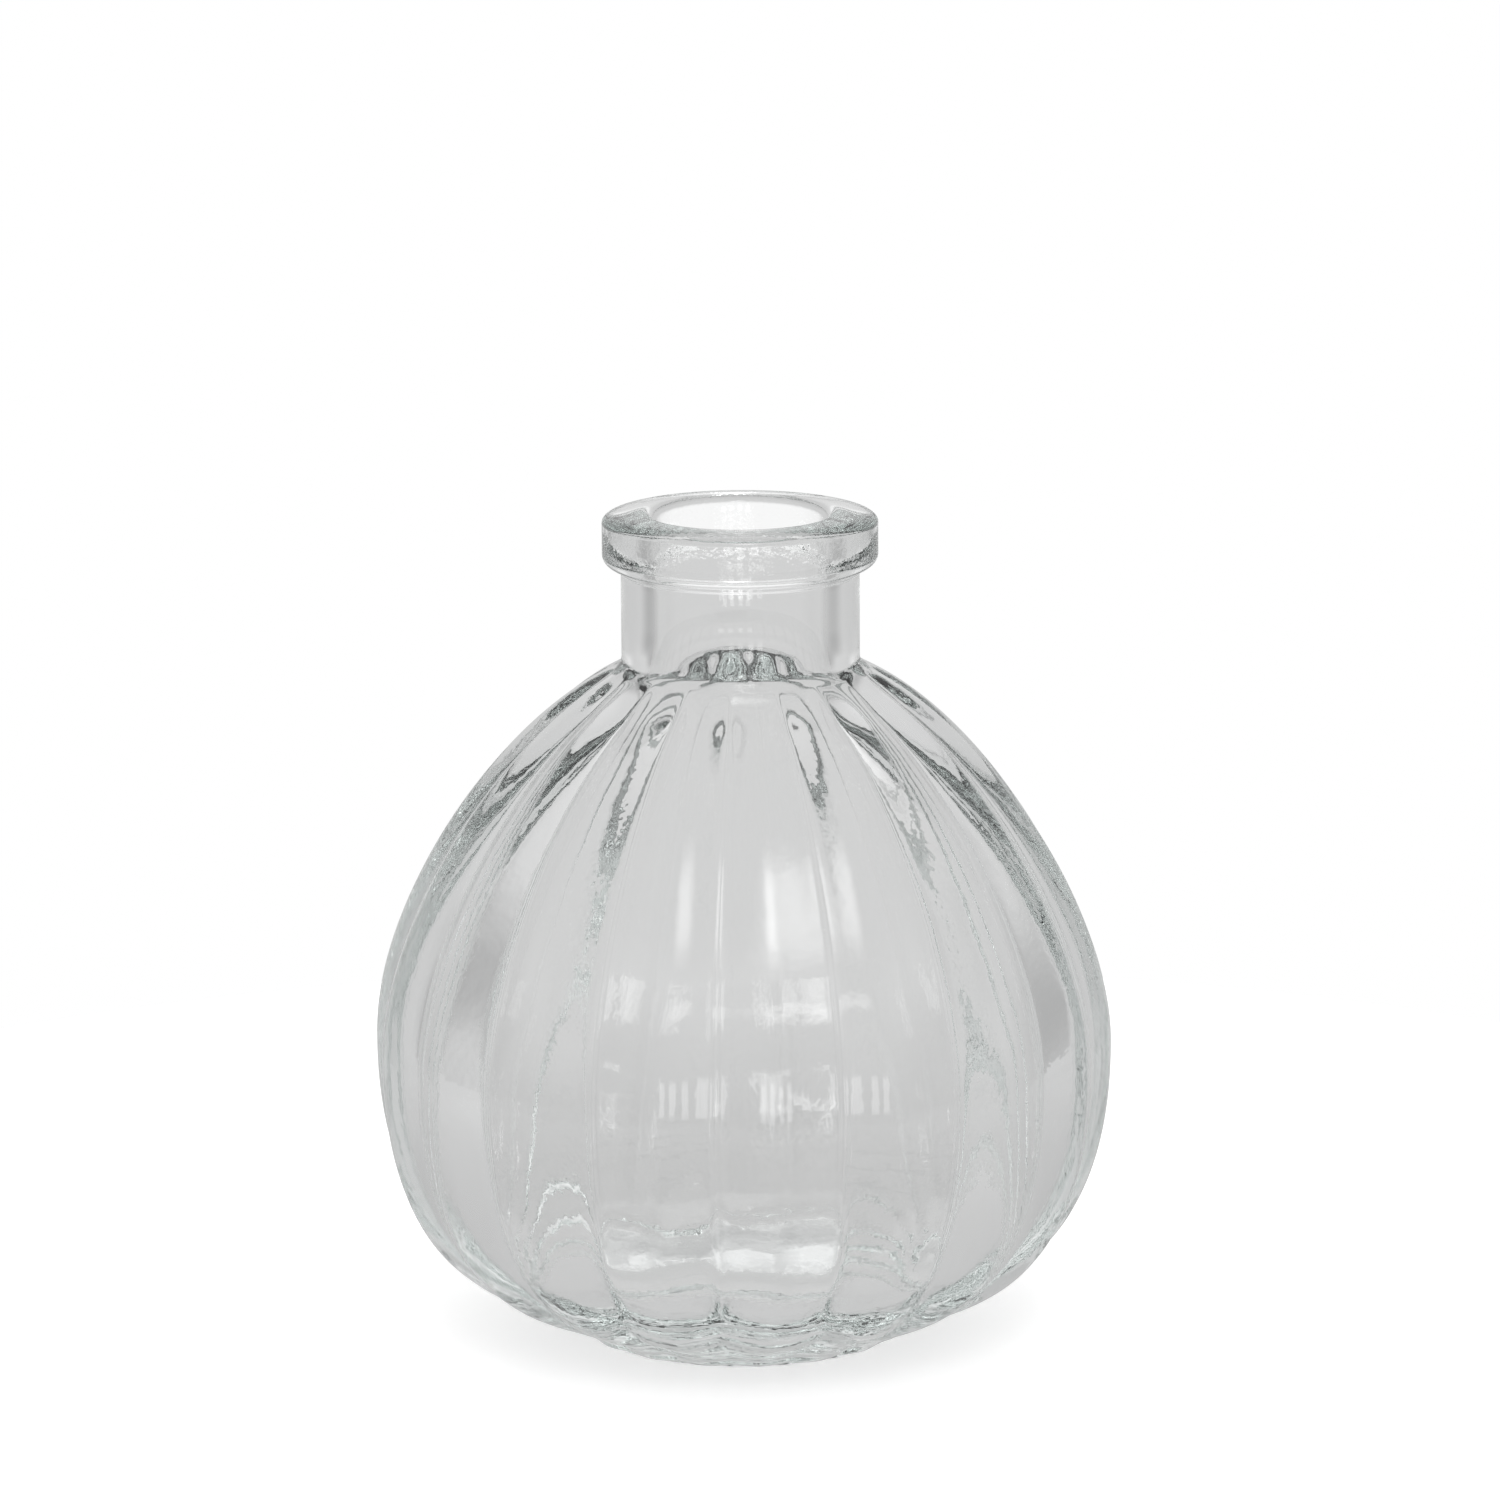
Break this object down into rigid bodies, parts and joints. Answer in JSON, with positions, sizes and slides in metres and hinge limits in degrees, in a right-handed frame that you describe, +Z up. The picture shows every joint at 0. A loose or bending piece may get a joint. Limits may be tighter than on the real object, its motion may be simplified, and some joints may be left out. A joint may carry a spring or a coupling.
{
  "type": "glass bud vase",
  "caption": "Squat round bud vase in one piece of clear ribbed glass, with a short straight neck, a rounded collar and a thick base.",
  "frame": {"origin": "centre of the standing face, on the plane that the vase stands on", "axes": "+Z up along the vase's axis, out of the mouth; -Y towards the front, where a rib crest faces"},
  "size_m": [0.0788, 0.08, 0.09],
  "materials": {
    "clear_glass": "clear moulded glass, smooth and glossy"
  },
  "bodies": {
    "root": {"vase": "clear_glass"}
  },
  "joints": []
}
